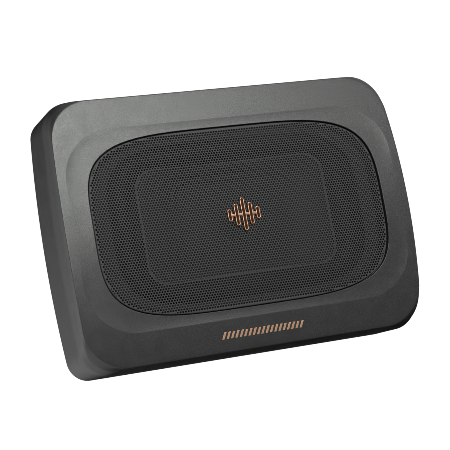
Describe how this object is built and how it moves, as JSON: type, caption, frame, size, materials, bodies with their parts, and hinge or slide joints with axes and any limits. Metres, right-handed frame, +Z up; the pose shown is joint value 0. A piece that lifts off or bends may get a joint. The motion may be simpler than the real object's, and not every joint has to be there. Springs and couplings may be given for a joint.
{
  "type": "powered car subwoofer",
  "caption": "Flat under-seat powered bass box: arched die-cast cover, perforated grille over a rounded-rectangular driver, amplifier and connector bay at the back.",
  "frame": {"origin": "middle of the footprint, at the bottom of the feet", "axes": "+Z up through the grille, +X along the long side, +Y towards the connector bay"},
  "size_m": [0.2666, 0.194, 0.0683],
  "materials": {
    "satin_paint": "satin gunmetal paint on die-cast aluminium",
    "grille_paint": "satin charcoal paint on perforated steel",
    "copper": "polished copper-coloured plating",
    "bare_aluminium": "fine-blasted bare aluminium",
    "black_steel": "black powder coat",
    "zinc_steel": "bright zinc plate",
    "black_plastic": "fine moulded grain",
    "white_plastic": "natural nylon",
    "red_plastic": "moulded, satin",
    "rubber": "matt black",
    "foam": "closed-cell foam",
    "cone_board": "satin moulded cone",
    "woven_resin": "resin-dipped woven cloth",
    "ferrite": "ground ferrite",
    "coil_wire": "enamelled copper wire",
    "board_green": "solder mask",
    "can_sleeve": "shrink sleeve",
    "nickel": "bright nickel plate",
    "led_blue": "clear tinted lens"
  },
  "bodies": {
    "enclosure": {"amplifier_board": "board_green", "badge": "copper", "base_gasket": "foam", "base_plate": "bare_aluminium", "base_screw_1": "black_steel", "base_screw_2": "black_steel", "base_screw_3": "black_steel", "base_screw_4": "black_steel", "base_screw_5": "black_steel", "base_screw_6": "black_steel", "basket": "black_steel", "board_screw_1": "zinc_steel", "board_screw_2": "zinc_steel", "board_screw_3": "zinc_steel", "capacitor_1": "can_sleeve", "capacitor_2": "can_sleeve", "connector_bay": "black_plastic", "crossover_pot": "black_plastic", "driver_gasket": "foam", "driver_screw_1": "zinc_steel", "driver_screw_2": "zinc_steel", "driver_screw_3": "zinc_steel", "driver_screw_4": "zinc_steel", "driver_screw_5": "zinc_steel", "driver_screw_6": "zinc_steel", "driver_terminals": "black_plastic", "face_inlay": "copper", "foot_1": "rubber", "foot_2": "rubber", "foot_3": "rubber", "foot_4": "rubber", "gain_pot": "black_plastic", "grille": "grille_paint", "grille_seal": "foam", "heat_spreader": "bare_aluminium", "magnet": "ferrite", "mode_switch": "zinc_steel", "phase_switch": "zinc_steel", "power_socket": "black_plastic", "rca_jack_left": "nickel", "rca_jack_right": "nickel", "remote_socket": "black_plastic", "speaker_input_socket": "white_plastic", "spider": "woven_resin", "status_led": "led_blue", "surround": "rubber", "top_cover": "satin_paint", "top_plate": "zinc_steel", "toroid_choke": "coil_wire", "transistor_1": "black_plastic", "transistor_2": "black_plastic", "yoke": "zinc_steel"},
    "cone_assembly": {"cone": "cone_board", "cone_panel": "cone_board", "coil_former": "bare_aluminium", "voice_coil": "coil_wire"},
    "gain_control": {"gain_knob": "red_plastic"},
    "crossover_control": {"crossover_knob": "black_plastic"},
    "phase_control": {"phase_slider": "white_plastic"},
    "mode_control": {"mode_slider": "white_plastic"}
  },
  "joints": [
    {"name": "cone_travel", "type": "slide", "parent": "enclosure", "child": "cone_assembly", "axis": [0, 0, 1], "range_m": [-0.005, 0.005], "stiffness_N_per_m": 3500, "deforming": ["surround", "spider"]},
    {"name": "gain_turn", "type": "hinge", "parent": "enclosure", "child": "gain_control", "pos_m": [-0.05, 0.09, 0.024], "axis": [0, 1, 0], "range_deg": [-140, 140]},
    {"name": "crossover_turn", "type": "hinge", "parent": "enclosure", "child": "crossover_control", "pos_m": [-0.065, 0.09, 0.024], "axis": [0, 1, 0], "range_deg": [-140, 140]},
    {"name": "phase_slide", "type": "slide", "parent": "enclosure", "child": "phase_control", "axis": [1, 0, 0], "range_m": [0, 0.0035]},
    {"name": "mode_slide", "type": "slide", "parent": "enclosure", "child": "mode_control", "axis": [1, 0, 0], "range_m": [-0.0018, 0.0018]}
  ]
}
